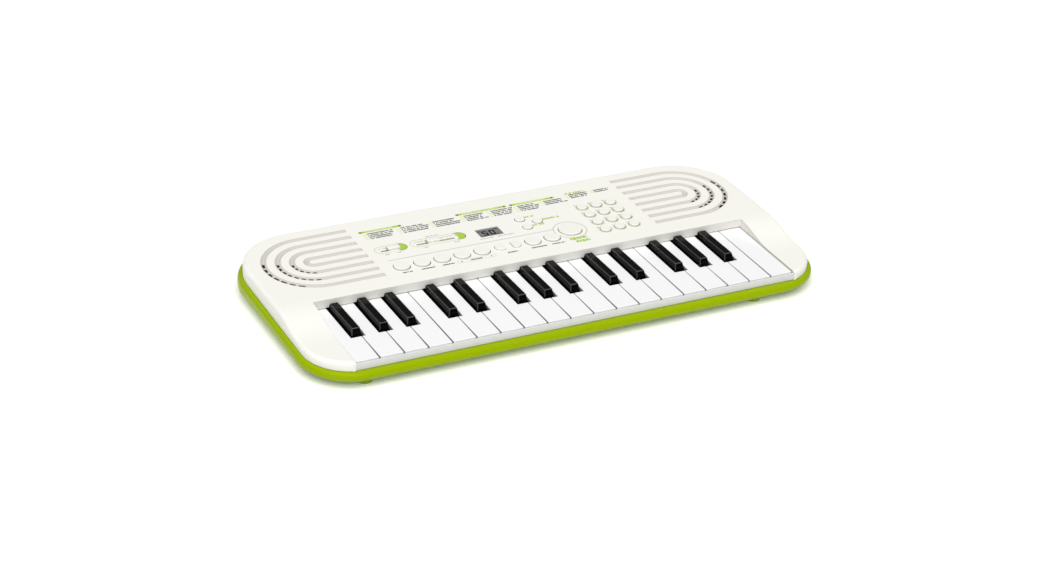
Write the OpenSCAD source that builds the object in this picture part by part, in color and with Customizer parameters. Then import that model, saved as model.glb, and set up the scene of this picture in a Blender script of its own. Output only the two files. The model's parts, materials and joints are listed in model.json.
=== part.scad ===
// Toy electronic keyboard: 32 small keys, slide switches, round buttons,
// display, two speakers and a battery bay in a rounded two-part case.
// Millimetres, +Z up, +X along the keys, the player sits on the -Y side.

/* [Case] */
// Overall length of the lower tray
case_w = 446; // [400:1:500]
// Overall depth of the lower tray
case_d = 208; // [190:1:230]
// Height of the flat control panel above the table
panel_z = 28.5; // [27:0.5:34]
// Height of the cheeks beside the key fronts
cheek_z = 21.5; // [21:0.1:24]
// Corner radius of the tray at the front
corner_front = 42; // [25:1:60]
// Corner radius of the tray at the rear
corner_rear = 54; // [25:1:70]
// How far the tray stands out past the upper case
lip = 4; // [2:0.5:6]
// Height of the parting line at the front
seam_front = 13.5; // [12:0.5:16]
// Height of the parting line at the rear
seam_rear = 18.5; // [14:0.5:20]
// Wall thickness of both shells
wall = 2.4; // [1.8:0.1:3]
// Height of the feet
foot_h = 2.5; // [1.5:0.5:6]

/* [Keys] */
// Spacing of the white keys
key_pitch = 20; // [18:0.1:24]
// Gap between two white keys
key_gap = 0.6; // [0.4:0.1:1]
// Height of the white key tops
key_z = 20.5; // [18:0.1:22]
// Height of a white key's body
key_h = 8; // [6:0.5:10]
// Length of a white key in front of the panel
white_len = 82; // [70:1:95]
// Length of a black key in front of the panel
black_len = 43.8; // [40:0.1:50]
// Rise of a black key above the white keys at its front end
black_rise_front = 4.8; // [4:0.1:7]
// Rise of a black key above the white keys at the panel
black_rise_rear = 4.1; // [3:0.1:6]
// Width of a black key at its top
black_top_w = 6.5; // [5:0.1:8]
// Width of a black key at the level of the white tops
black_base_w = 8.3; // [7:0.1:10]
// Width of the notch that a black key stands in
notch_w = 12; // [10:0.1:13]

/* [Controls] */
// Radius of the tone and rhythm buttons
button_r = 6.6; // [5:0.1:8]
// Radius of the start button
start_r = 9.6; // [8:0.1:12]
// Radius of the number buttons
pad_r = 4.3; // [3:0.1:5]
// Radius of the three mode buttons
mode_r = 4.1; // [3:0.1:5]
// Height of the button caps above the panel
cap_rise = 1.3; // [1:0.1:3]
// Clearance around every cap
cap_gap = 0.35; // [0.2:0.05:0.6]

/* [Speakers] */
// Distance of each speaker from the middle
speaker_x = 165; // [150:1:175]
// Radius of the speaker frames
speaker_r = 33; // [25:1:36]
// Spacing of the grille grooves
groove_pitch = 11.2; // [9:0.1:13]
// Width of a grille groove
groove_w = 4.8; // [2:0.1:6]
// Depth of a grille groove
groove_depth = 1.2; // [0.5:0.1:1.5]

/* [Hidden] */
$fn = 64;
over = 1;
upper_w = case_w - 2 * lip;
upper_d = case_d - 2 * lip;
case_front = -case_d / 2;
case_rear = case_d / 2;
upper_front = -upper_d / 2;
upper_rear = upper_d / 2;
seam_gap = 0.4;
case_round = 3;
tray_round = 3.5;
skirt_in = 7;
skirt_edge = 0.6;
skirt_top = 9;
seam_tilt = atan((seam_rear - seam_front) / case_d);

white_count = 19;
key_span = white_count * key_pitch;
bed_half = key_span / 2 + 0.3;
key_front = upper_front + 4;
fascia_y = key_front + white_len;
fascia_t = 2;
fascia_gap = 0.8;
panel_under = panel_z - wall;
ramp_start = upper_front + corner_front - lip;
ramp_end = fascia_y + 4;
ramp_rise = panel_z - cheek_z;
ramp_angle = 2 * atan(ramp_rise / (ramp_end - ramp_start));
ramp_r = (ramp_end - ramp_start) / 2 / sin(ramp_angle);
ramp_steps = 16;

// white-key edges that carry a black key, and how far each is off the edge
black_edges = [1, 2, 3, 5, 6, 8, 9, 10, 12, 13, 15, 16, 17];
black_offsets = [-2.9, 0, 2.9, -2, 2, -2.9, 0, 2.9, -2, 2, -2.9, 0, 2.9];
plain_edges = [4, 7, 11, 14, 18];
key_wall = 1.5;
key_top_t = 2.2;
key_bottom = key_z - key_h;
notch_front = fascia_y - black_len - 4.6;
black_front = fascia_y - black_len - 1.6;
black_lower_w = 8.4;
black_foot_slope = 2.2;
tuck = 3;
hinge_y = fascia_y + 17;
hinge_z = 14;
knuckle_r = 4;
knuckle_w = 6;
axle_r = 1.25;
axle_bore_r = 1.5;
rib_bore_r = 1.4;
rib_t = 1.6;
contact_y = fascia_y - 26;
dome_top = key_bottom - 0.2;

strip_front = upper_front + 2;
strip_t = 1.2;
strip_top = key_z - 0.9;
floor_z = foot_h + 2.2;
flange_z = 10.5;
tray_wall = 7.4;
shell_in = lip + wall + 0.2;

row_y = fascia_y + 27.5;
row_x = [-103.5, -86, -68.5, -51, -33.5];
tempo_x = [-16.8, -4.4];
tempo_r = 5.2;
tempo_flat = 2.6;
rhythm_x = [11.8, 29.3];
start_x = 49.1;
start_y = fascia_y + 34.3;
ring_r = 13.2;
mode_xy = [[18.8, 65.3], [31.2, 57.7], [19.1, 51.2]];
pad_x0 = 76.7;
pad_dx = 13.3;
pad_y0 = fascia_y + 66;
pad_dy = 13.8;
flange_w = 1.2;
flange_t = 1.3;
flange_top = panel_under - 0.2;
travel = 0.8;
board_top = 22.6;
board_t = 1.6;
button_dome_top = flange_top - flange_t - 0.3;

slide_y = fascia_y + 57.8;
slide_h = 6;
power_slot = [-110, -91];
power_rest = -97.4;
volume_slot = [-79, -41];
volume_rest = -62.9;
knob_foot = 7.2;
knob_l = 10.4;
knob_w = 5.2;
knob_rise = 1.9;
well_depth = 1.2;
stem_l = 4;
stem_w = 2.4;
slot_w = 3.2;

lcd_x = -13.8;
lcd_y = fascia_y + 55;
lcd_w = 20.6;
lcd_d = 13.4;
lcd_frame_w = 27;
lcd_frame_d = 20;
lcd_ledge = 1.2;
step_y = fascia_y + 39;
step_x0 = -110;
step_w = 0.8;
step_depth = 0.5;

speaker_y = fascia_y + 59.7;
grille_end = 121;
groove_count = 4;
slot_len = [5.2, 3.9, 3.4];
slot_thick = 2;
slot_first = [167, 170, 178];
slot_step = [11.3, 12.4, 18.5];
slot_counts = [7, 8, 5];

boss_xy = [[204, -70], [204, -8], [110, 90.5], [186, 85]];
boss_r = 4;
boss_z = 12;
screw_r = 1.4;
pilot_r = 1.5;
screw_hole_r = 1.7;
head_r = 2.9;
head_recess_r = 3.2;
head_z = 7;

cell_r = 7.25;
cell_l = 50.5;
cell_pitch_x = 51.5;
cell_pitch_y = 15.2;
bay_y = 74;
bay_half_w = 79.5;
bay_half_d = 15.6;
bay_top = 20.4;
bay_wall = 1.6;
cell_z = 12.3;
cover_t = 1.8;
cover_ledge = 2;
cover_gap = 0.3;

foot_xy = [[-180, -90.8], [158, -90.8], [-168, 84], [168, 84]];
foot_r = 6;
jack_z = 11;
dc_x = -150;
phone_x = -128;
phone_r = 1.8;

white_paint = [0.95, 0.94, 0.91];
lime_paint = [0.62, 0.77, 0.05];
grey_paint = [0.86, 0.86, 0.85];
key_white = [0.97, 0.97, 0.97];
key_black = [0.04, 0.04, 0.04];
steel_paint = [0.7, 0.7, 0.72];
rubber_paint = [0.55, 0.55, 0.57];

// ---- helpers -------------------------------------------------------------

function seam_at(y) = seam_front + (seam_rear - seam_front) * (y - case_front) / case_d;
function edge_x(i) = i * key_pitch - key_span / 2;
function black_x(j) = edge_x(black_edges[j]) + black_offsets[j];

// the black key beside a white key's left or right edge: its middle, or undef
function black_at(edge) = [for (j = [0 : 12]) if (black_edges[j] == edge) black_x(j)][0];
function neck_left(i) = is_undef(black_at(i)) ? edge_x(i) + key_gap / 2
    : black_at(i) + notch_w / 2;
function neck_right(i) = is_undef(black_at(i + 1)) ? edge_x(i + 1) - key_gap / 2
    : black_at(i + 1) - notch_w / 2;
function neck_mid(i) = (neck_left(i) + neck_right(i)) / 2;

// plan of the case, moved in from the tray's outline by inset
module plan(inset) {
    rf = corner_front - inset;
    rb = corner_rear - inset;
    w = case_w / 2 - inset;
    d = case_d / 2 - inset;
    translate([-w, -d + rf]) square([2 * w, 2 * d - rf - rb]);
    translate([-w + rf, -d]) square([2 * w - 2 * rf, rf + over]);
    translate([-w + rb, d - rb - over]) square([2 * w - 2 * rb, rb + over]);
    for (s = [-1, 1]) {
        translate([s * (w - rf), -d + rf]) circle(rf, $fn = 128);
        translate([s * (w - rb), d - rb]) circle(rb, $fn = 128);
    }
}

// a prism along X with the given (y, z) outline
module along_x(points, x0, x1) {
    translate([x0, 0, 0]) rotate([90, 0, 90]) linear_extrude(x1 - x0) polygon(points);
}

module cyl_x(r, x0, x1, y, z) {
    translate([x0, y, z]) rotate([0, 90, 0]) cylinder(r = r, h = x1 - x0);
}

module bar(x0, x1, y0, y1, z0, z1) {
    translate([x0, y0, z0]) cube([x1 - x0, y1 - y0, z1 - z0]);
}

module disc(x, y, r, z0, z1) {
    translate([x, y, z0]) cylinder(r = r, h = z1 - z0);
}

module both_sides() {
    children();
    mirror([1, 0, 0]) children();
}

// ---- upper case ----------------------------------------------------------

// height of a cheek above its front end: one arc up out of the flat, one into it
function ramp_up(y) = y < (ramp_start + ramp_end) / 2
    ? ramp_r - sqrt(ramp_r * ramp_r - pow(y - ramp_start, 2))
    : ramp_rise - ramp_r + sqrt(ramp_r * ramp_r - pow(ramp_end - y, 2));

function ramp(drop) = [for (k = [0 : ramp_steps])
    let (y = ramp_start + (ramp_end - ramp_start) * k / ramp_steps)
        [y, cheek_z - drop + ramp_up(y)]];

function hollow_outline() = concat(
    [[case_front, 0], [case_front, cheek_z - wall]],
    ramp(wall),
    [[case_rear, panel_under], [case_rear, 0]]);

// a wall section from the middle line out to r, with its upper outer edge rounded
module edge_section(r, z0, z1, round) {
    translate([0, z0]) square([r, z1 - z0 - round]);
    translate([0, z0]) square([r - round, z1 - z0]);
    translate([r - round, z1 - round]) circle(round);
}

module corner_block(x, y, turn, r, z0, z1, round) {
    translate([x, y, 0]) rotate([0, 0, turn]) rotate_extrude(angle = 90, $fn = 128)
        edge_section(r, z0, z1, round);
}

// a slab from y0 to y1 whose front or rear edge (side -1 or 1) is rounded on top
module end_block(half, y_in, reach, side, z0, z1, round) {
    translate([-half, y_in, 0]) rotate([90, 0, 90]) linear_extrude(2 * half)
        scale([side, 1]) edge_section(reach, z0, z1, round);
}

// both long sides between y0 and y1, rounded on top
module side_block(half, y0, y1, z0, z1, round) {
    for (s = [0, 1]) mirror([s, 0, 0])
        translate([0, y1, 0]) rotate([90, 0, 0]) linear_extrude(y1 - y0)
            edge_section(half, z0, z1, round);
}

// the stretch of the case where the cheeks rise to the panel: two arcs about X
module ramp_block(half, depth, round) {
    translate([0, ramp_end, panel_z - ramp_r]) rotate([0, -90, 0])
        rotate([0, 0, -ramp_angle]) ramp_arc(half, ramp_r - depth, ramp_r, 1, round);
    translate([0, ramp_start, cheek_z + ramp_r]) rotate([0, 90, 0])
        ramp_arc(half, ramp_r, ramp_r + depth, -1, round);
}

module ramp_arc(half, r0, r1, top, round) {
    edge = top > 0 ? r1 : r0;
    rotate_extrude(angle = ramp_angle, $fn = 256) {
        translate([r0, -half + round]) square([r1 - r0, 2 * (half - round)]);
        translate([top > 0 ? r0 : r0 + round, -half]) square([r1 - r0 - round, 2 * half]);
        for (s = [-1, 1]) translate([edge - top * round, s * (half - round)]) circle(round);
    }
}

module case_solid() {
    half = upper_w / 2;
    rf = corner_front - lip;
    rb = corner_rear - lip;
    for (s = [0, 1]) mirror([s, 0, 0]) {
        corner_block(half - rf, ramp_start, -90, rf, 8, cheek_z, case_round);
        corner_block(half - rb, upper_rear - rb, 0, rb, 8, panel_z, case_round);
    }
    end_block(half - rf, ramp_start, rf, -1, 8, cheek_z, case_round);
    end_block(half - rb, upper_rear - rb, rb, 1, 8, panel_z, case_round);
    ramp_block(half, 14, case_round);
    side_block(half, ramp_end, upper_rear - rb, 8, panel_z, case_round);
}

module groove(k) {
    r = groove_pitch * (k + 0.5);
    inner = r - groove_w / 2;
    outer = r + groove_w / 2;
    difference() {
        union() {
            circle(outer, $fn = 96);
            translate([grille_end - speaker_x, -outer])
                square([speaker_x - grille_end, 2 * outer]);
        }
        union() {
            circle(inner, $fn = 96);
            translate([grille_end - speaker_x - over, -inner])
                square([speaker_x - grille_end + over, 2 * inner]);
        }
    }
}

module grille_cuts() {
    translate([speaker_x, speaker_y, panel_z - groove_depth]) {
        for (k = [0 : groove_count - 1]) linear_extrude(groove_depth + over) groove(k);
        for (row = [0 : 2]) {
            r = groove_pitch * (3.5 - row);
            for (k = [0 : slot_counts[row] - 1])
                rotate([0, 0, 180 - slot_first[row] - slot_step[row] * k])
                    translate([r - slot_thick / 2, -slot_len[row] / 2, -wall])
                        cube([slot_thick, slot_len[row], wall + over]);
        }
    }
}

module tempo_shape(side, r, grow) {
    intersection() {
        circle(r);
        translate([side > 0 ? -tempo_flat - grow : -2 * r, -r - over])
            square([2 * r + tempo_flat + grow, 2 * (r + over)]);
    }
}

module button_holes() {
    z0 = panel_under - over;
    z1 = panel_z + over;
    for (x = row_x) disc(x, row_y, button_r + cap_gap, z0, z1);
    for (x = rhythm_x) disc(x, row_y, button_r + cap_gap, z0, z1);
    for (k = [0, 1])
        translate([tempo_x[k], row_y, z0]) linear_extrude(z1 - z0)
            tempo_shape(2 * k - 1, tempo_r + cap_gap, cap_gap);
    disc(start_x, start_y, start_r + cap_gap, z0, z1);
    for (p = mode_xy) disc(p[0], fascia_y + p[1], mode_r + cap_gap, z0, z1);
    for (i = [0 : 2], j = [0 : 3])
        disc(pad_x0 + i * pad_dx, pad_y0 - j * pad_dy, pad_r + cap_gap, z0, z1);
}

module slide_well(slot) {
    r = slide_h / 2;
    translate([0, slide_y, panel_z - well_depth]) linear_extrude(well_depth + over) {
        translate([slot[0] + r, -r]) square([slot[1] - slot[0] - 2 * r, slide_h]);
        translate([slot[0] + r, 0]) circle(r);
        translate([slot[1] - r, 0]) circle(r);
    }
    bar(slot[0] + 2, slot[1] - 2, slide_y - slot_w / 2, slide_y + slot_w / 2,
        panel_under - over, panel_z);
}

module panel_cuts() {
    both_sides() grille_cuts();
    button_holes();
    slide_well(power_slot);
    slide_well(volume_slot);
    bar(lcd_x - lcd_w / 2, lcd_x + lcd_w / 2, lcd_y - lcd_d / 2, lcd_y + lcd_d / 2,
        panel_under - over, panel_z + over);
    bar(step_x0, start_x - ring_r, step_y, step_y + step_w, panel_z - step_depth,
        panel_z + over);
    translate([start_x, start_y, panel_z - step_depth]) difference() {
        cylinder(r = ring_r + step_w, h = step_depth + over);
        translate([0, 0, -over]) cylinder(r = ring_r, h = step_depth + 3 * over);
    }
}

module upper_case() {
    color(white_paint) difference() {
        union() {
            difference() {
                case_solid();
                below_seam(-seam_gap);
                intersection() {
                    linear_extrude(panel_z + over) plan(lip + wall);
                    along_x(hollow_outline(), -case_w / 2, case_w / 2);
                }
            }
            both_sides() cheek_wall();
            bar(-bed_half, bed_half, fascia_y, fascia_y + fascia_t, key_z + fascia_gap,
                panel_z - over);
            both_sides() for (p = boss_xy)
                disc(p[0], p[1], boss_r, boss_z, p[1] < -20 ? cheek_z - over : panel_z - over);
        }
        bar(-bed_half, bed_half, case_front - over, fascia_y, 0, panel_z + over);
        both_sides() for (p = boss_xy)
            disc(p[0], p[1], pilot_r, boss_z - over, cheek_z - 5);
        panel_cuts();
    }
}

// the wall of a cheek beside the keys, up to the cheek's sloping top and, behind
// the tray's rim, down into the tray
module cheek_wall() {
    intersection() {
        union() {
            difference() {
                bar(bed_half, bed_half + wall, upper_front + wall / 2, fascia_y + fascia_t,
                    8, panel_z);
                below_seam(-seam_gap);
            }
            bar(bed_half, bed_half + wall, upper_front + 6, fascia_y + fascia_t, 8, panel_z);
        }
        along_x(concat([[case_front, 0], [case_front, cheek_z - wall / 2]], ramp(wall / 2),
            [[case_rear, panel_z - wall / 2], [case_rear, 0]]), 0, case_w / 2);
    }
}

// ---- lower tray ----------------------------------------------------------

module below_seam(drop) {
    along_x([[case_front - over, 0], [case_front - over, seam_at(case_front) - drop],
        [case_rear + over, seam_at(case_rear) - drop], [case_rear + over, 0]],
        -case_w / 2 - over, case_w / 2 + over);
}

// a slab with the tray's outline and a rounded upper edge
module tray_slab(z0, z1, round) {
    half = case_w / 2;
    y0 = case_front + corner_front;
    y1 = case_rear - corner_rear;
    for (s = [0, 1]) mirror([s, 0, 0]) {
        corner_block(half - corner_front, y0, -90, corner_front, z0, z1, round);
        corner_block(half - corner_rear, y1, 0, corner_rear, z0, z1, round);
    }
    end_block(half - corner_front, y0, corner_front, -1, z0, z1, round);
    end_block(half - corner_rear, y1, corner_rear, 1, z0, z1, round);
    side_block(half, y0, y1, z0, z1, round);
}

// half a section of the tray below its rim, narrowing towards the table
module skirt_section(r) {
    polygon([[0, foot_h], [r - skirt_in, foot_h], [r - skirt_edge, skirt_top],
        [r - skirt_edge, skirt_top + 0.4], [0, skirt_top + 0.4]]);
}

module tray_skirt() {
    half = case_w / 2;
    y0 = case_front + corner_front;
    y1 = case_rear - corner_rear;
    for (s = [0, 1]) mirror([s, 0, 0]) {
        translate([half - corner_front, y0, 0]) rotate([0, 0, -90])
            rotate_extrude(angle = 90, $fn = 128) skirt_section(corner_front);
        translate([half - corner_rear, y1, 0])
            rotate_extrude(angle = 90, $fn = 128) skirt_section(corner_rear);
        translate([0, y1, 0]) rotate([90, 0, 0]) linear_extrude(y1 - y0)
            skirt_section(half);
    }
    translate([corner_front - half, y0, 0]) rotate([90, 0, 90])
        linear_extrude(2 * (half - corner_front)) mirror([1, 0]) skirt_section(corner_front);
    translate([corner_rear - half, y1, 0]) rotate([90, 0, 90])
        linear_extrude(2 * (half - corner_rear)) skirt_section(corner_rear);
}

module tray_shell() {
    difference() {
        union() {
            intersection() {
                translate([0, case_front, seam_front]) rotate([seam_tilt, 0, 0])
                    translate([0, -case_front, -seam_front])
                        tray_slab(-12, seam_front, tray_round);
                translate([0, 0, skirt_top]) linear_extrude(40)
                    square([case_w + 10, case_d + 10], center = true);
            }
            tray_skirt();
        }
        translate([0, 0, floor_z]) linear_extrude(flange_z - floor_z) plan(tray_wall);
        translate([0, 0, flange_z - over]) linear_extrude(30) plan(shell_in);
        bar(dc_x - 8, phone_x + 8, bay_y, case_rear - 6.7, floor_z, flange_z);
        bar(-bed_half, bed_half, key_front - 1.3, key_front + 8, 6.8, flange_z);
    }
}

module axle_rib(x) {
    difference() {
        bar(x - rib_t / 2, x + rib_t / 2, hinge_y - 5, hinge_y + 5, floor_z - 0.5, hinge_z + 4);
        cyl_x(rib_bore_r, x - rib_t, x + rib_t, hinge_y, hinge_z);
    }
}

module battery_bay() {
    difference() {
        bar(-bay_half_w - bay_wall, bay_half_w + bay_wall, bay_y - bay_half_d - bay_wall,
            bay_y + bay_half_d + bay_wall, floor_z - 0.5, bay_top + bay_wall);
        bar(-bay_half_w, bay_half_w, bay_y - bay_half_d, bay_y + bay_half_d, floor_z - 1,
            bay_top);
    }
}

module lower_tray() {
    color(lime_paint) difference() {
        union() {
            tray_shell();
            battery_bay();
            for (i = plain_edges) axle_rib(edge_x(i));
            both_sides() axle_rib(bed_half - 1.5);
            both_sides() for (p = boss_xy) disc(p[0], p[1], boss_r, floor_z - 0.5, boss_z);
            for (x = [-150, -50, 50, 150])
                bar(x - 3, x + 3, contact_y - 5, contact_y + 5, floor_z - 0.5, 5.9);
            for (x = [-116, 0, 114])
                bar(x - 2, x + 2, row_y - 4, row_y + 4, floor_z - 0.5, board_top - board_t);
        }
        both_sides() for (p = boss_xy) {
            disc(p[0], p[1], screw_hole_r, 0, boss_z + over);
            disc(p[0], p[1], head_recess_r, 0, head_z);
        }
        bar(-bay_half_w, bay_half_w, bay_y - bay_half_d, bay_y + bay_half_d, 0, floor_z + over);
        bar(-bay_half_w - cover_ledge, bay_half_w + cover_ledge, bay_y - bay_half_d - cover_ledge,
            bay_y + bay_half_d + cover_ledge, 0, foot_h + cover_t + 0.1);
        translate([dc_x, case_rear - 12, jack_z]) rotate([-90, 0, 0]) cylinder(r = 4.6, h = 20);
        translate([phone_x, case_rear - 12, jack_z]) rotate([-90, 0, 0])
            cylinder(r = 3.6, h = 20);
    }
}

module battery_cover() {
    w = bay_half_w + cover_ledge - cover_gap;
    d = bay_half_d + cover_ledge - cover_gap;
    color(lime_paint) difference() {
        bar(-w, w, bay_y - d, bay_y + d, foot_h, foot_h + cover_t);
        for (k = [0 : 4])
            bar(-12, 12, bay_y - d + 3 + 1.6 * k, bay_y - d + 3.8 + 1.6 * k, 0, foot_h + 0.6);
    }
}

module feet() {
    color(lime_paint) for (p = foot_xy) disc(p[0], p[1], foot_r, 0, foot_h);
}

module case_screws() {
    color(steel_paint) both_sides() for (p = boss_xy) {
        disc(p[0], p[1], head_r, head_z - 2, head_z - 0.05);
        disc(p[0], p[1], screw_r, head_z - 0.5, cheek_z - 6);
    }
}

module front_strip() {
    color(grey_paint)
        bar(-bed_half + 0.1, bed_half - 0.1, strip_front, strip_front + strip_t,
            seam_at(strip_front) + seam_gap, strip_top);
}

// ---- power and electronics -----------------------------------------------

module battery_cells() {
    color([0.2, 0.22, 0.25]) for (i = [-1 : 1], s = [-1, 1]) {
        x = i * cell_pitch_x;
        y = bay_y + s * cell_pitch_y / 2;
        cyl_x(cell_r, x - cell_l / 2, x + cell_l / 2 - 1, y, cell_z);
        cyl_x(2.75, x + cell_l / 2 - 1.2, x + cell_l / 2, y, cell_z);
    }
}

module battery_contacts() {
    color(steel_paint) for (e = [-1, 1]) {
        x = e * (bay_half_w - 0.7);
        tip = e * (cell_pitch_x + cell_l / 2 + 0.05);
        for (s = [-1, 1]) {
            y = bay_y + s * cell_pitch_y / 2;
            bar(x - 0.3, x + 0.3, y - 6, y + 6, cell_z - 6, cell_z + 6);
            cyl_x(2.6, min(x, tip), max(x, tip), y, cell_z);
        }
    }
}

module chip(x, y, w, d, z, h) {
    bar(x - w / 2, x + w / 2, y - d / 2, y + d / 2, z - 0.1, z + h);
}

module circuit_boards() {
    color([0.1, 0.35, 0.18]) {
        difference() {
            bar(-bed_half + 3, bed_half - 3, contact_y - 7, contact_y + 7, 5.9, 7.3);
            for (x = [-150, 150]) disc(x, contact_y, 1.2, 5, 8);
        }
        difference() {
            union() {
                bar(-118, 116, fascia_y + 20.5, fascia_y + 70.5, board_top - board_t, board_top);
                chip(-60, fascia_y + 45.5, 16, 16, board_top, 1.6);
                chip(56, fascia_y + 52, 10, 8, board_top, 1.4);
                chip(power_rest - 3, slide_y, 16, 6, board_top, 1.2);
                chip(volume_rest + 3, slide_y, 34, 6, board_top, 1.2);
            }
            for (x = [-114, 111]) disc(x, fascia_y + 67, 1.2, 18, 24);
        }
    }
}

module rubber_domes() {
    z0 = 7.35;
    color(rubber_paint) {
        bar(-bed_half + 3, bed_half - 3, contact_y - 5.5, contact_y + 5.5, z0, z0 + 1);
        for (i = [0 : white_count - 1]) dome(neck_mid(i), contact_y, z0 + 0.8, dome_top, 3);
        for (j = [0 : 12]) dome(black_x(j), contact_y, z0 + 0.8, dome_top, 2.4);
        for (x = concat(row_x, tempo_x, rhythm_x)) button_dome(x, row_y);
        button_dome(start_x, start_y);
        for (p = mode_xy) button_dome(p[0], fascia_y + p[1]);
        for (i = [0 : 2], j = [0 : 3]) button_dome(pad_x0 + i * pad_dx, pad_y0 - j * pad_dy);
    }
}

module dome(x, y, z0, z1, r) {
    translate([x, y, z0]) cylinder(r1 = r, r2 = r * 0.7, h = z1 - z0);
}

module button_dome(x, y) {
    dome(x, y, board_top + 0.05, button_dome_top, 2.6);
}

module lcd_display() {
    color([0.52, 0.54, 0.54]) {
        bar(lcd_x - lcd_w / 2 + 0.15, lcd_x + lcd_w / 2 - 0.15, lcd_y - lcd_d / 2 + 0.15,
            lcd_y + lcd_d / 2 - 0.15, panel_under - 0.6, panel_z - 0.5);
        bar(lcd_x - lcd_frame_w / 2, lcd_x + lcd_frame_w / 2, lcd_y - lcd_frame_d / 2,
            lcd_y + lcd_frame_d / 2, board_top + 0.05, panel_under - 0.1);
    }
}

module speakers() {
    z1 = panel_under - 0.1;
    color([0.09, 0.09, 0.1]) both_sides() translate([speaker_x, speaker_y, 0])
        rotate_extrude($fn = 96) polygon([[0, z1 - 8], [9, z1 - 6.5], [speaker_r - 4, z1 - 1.2],
            [speaker_r - 4, z1], [speaker_r, z1], [speaker_r, z1 - 2.4], [speaker_r - 5, z1 - 3],
            [18, z1 - 12.5], [15, z1 - 12.5], [15, z1 - 19], [0, z1 - 19]]);
}

module jack_sockets() {
    y1 = case_rear - 7;
    color([0.08, 0.08, 0.09]) {
        difference() {
            bar(dc_x - 4.5, dc_x + 4.5, y1 - 13, y1, floor_z + 0.4, jack_z + 5.5);
            translate([dc_x, y1 - 9, jack_z]) rotate([-90, 0, 0]) cylinder(r = 3.2, h = 12);
        }
        translate([dc_x, y1 - 9.5, jack_z]) rotate([-90, 0, 0]) cylinder(r = 1, h = 8.5);
        difference() {
            bar(phone_x - 4, phone_x + 4, y1 - 14, y1, floor_z + 0.4, jack_z + 4);
            translate([phone_x, y1 - 13, jack_z]) rotate([-90, 0, 0])
                cylinder(r = phone_r, h = 20);
        }
    }
}

// ---- controls ------------------------------------------------------------

module round_cap(x, y, r) {
    disc(x, y, r, flange_top - 0.1, panel_z + cap_rise);
    disc(x, y, r + flange_w, flange_top - flange_t, flange_top);
}

module tone_button(k) {
    color(white_paint) round_cap(row_x[k], row_y, button_r);
}

module rhythm_button(k) {
    color(white_paint) round_cap(rhythm_x[k], row_y, button_r);
}

module tempo_button(k) {
    color(white_paint) translate([tempo_x[k], row_y, 0]) {
        translate([0, 0, flange_top - 0.1])
            linear_extrude(panel_z + cap_rise - flange_top + 0.1)
                tempo_shape(2 * k - 1, tempo_r, 0);
        translate([0, 0, flange_top - flange_t]) linear_extrude(flange_t)
            tempo_shape(2 * k - 1, tempo_r + 0.8, 0.8);
    }
}

module start_button() {
    color(white_paint) round_cap(start_x, start_y, start_r);
}

module mode_buttons() {
    color(white_paint) for (p = mode_xy) round_cap(p[0], fascia_y + p[1], mode_r);
}

module number_pad() {
    color(white_paint) for (i = [0 : 2], j = [0 : 3])
        round_cap(pad_x0 + i * pad_dx, pad_y0 - j * pad_dy, pad_r);
}

module slide_knob(x) {
    color(white_paint) {
        bar(x - knob_l / 2, x + knob_l / 2, slide_y - knob_w / 2, slide_y + knob_w / 2,
            panel_z + 0.1, panel_z + knob_rise);
        bar(x - knob_foot / 2, x + knob_foot / 2, slide_y - knob_w / 2,
            slide_y + knob_w / 2, panel_z - well_depth + 0.2, panel_z + 0.2);
        bar(x - stem_l / 2, x + stem_l / 2, slide_y - stem_w / 2, slide_y + stem_w / 2,
            board_top + 1.4, panel_z);
    }
}

// ---- keys ----------------------------------------------------------------

module knuckle(x) {
    difference() {
        union() {
            cyl_x(knuckle_r, x - knuckle_w / 2, x + knuckle_w / 2, hinge_y, hinge_z);
            bar(x - knuckle_w / 2, x + knuckle_w / 2, fascia_y + tuck - 1, hinge_y,
                hinge_z - 1.5, hinge_z + 3.5);
        }
        cyl_x(axle_bore_r, x - knuckle_w, x + knuckle_w, hinge_y, hinge_z);
    }
}

module white_key(i) {
    left = edge_x(i) + key_gap / 2;
    right = edge_x(i + 1) - key_gap / 2;
    back = fascia_y + tuck;
    color(key_white) {
        difference() {
            union() {
                bar(left, right, key_front, notch_front, key_bottom, key_z);
                bar(neck_left(i), neck_right(i), notch_front - over, back, key_bottom, key_z);
            }
            bar(left + key_wall, right - key_wall, key_front + key_wall,
                notch_front - key_wall, key_bottom - over, key_z - key_top_t);
            bar(neck_left(i) + key_wall, neck_right(i) - key_wall,
                notch_front - key_wall - over, back - key_wall, key_bottom - over,
                key_z - key_top_t);
        }
        knuckle(neck_mid(i));
        bar(neck_mid(i) - 1, neck_mid(i) + 1, contact_y - 2, contact_y + 2, key_bottom,
            key_z - 1);
    }
}

module black_key(j) {
    x = black_x(j);
    half_low = black_lower_w / 2;
    slope = (black_base_w - black_top_w) / 2 / black_rise_front;
    tip = (black_base_w - black_top_w) / 2;
    back = fascia_y + tuck;
    color(key_black) {
        difference() {
            union() {
                intersection() {
                    translate([x, back, key_z]) rotate([90, 0, 0]) linear_extrude(80)
                        polygon([[-half_low, 0], [half_low, 0],
                            [half_low - tip, black_rise_front + 0.1],
                            [-half_low + tip, black_rise_front + 0.1]]);
                    along_x([[black_front, key_z], [black_front + black_foot_slope,
                        key_z + black_rise_front], [fascia_y - 0.6, key_z + black_rise_rear],
                        [fascia_y - 0.6, key_z]], x - 10, x + 10);
                }
                bar(x - half_low, x + half_low, black_front, back, key_bottom, key_z + 0.001);
            }
            bar(x - half_low + key_wall, x + half_low - key_wall, black_front + key_wall,
                back - key_wall, key_bottom - over, key_z - key_top_t);
        }
        knuckle(x);
        bar(x - 1, x + 1, contact_y - 2, contact_y + 2, key_bottom, key_z - 1);
    }
}

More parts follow.
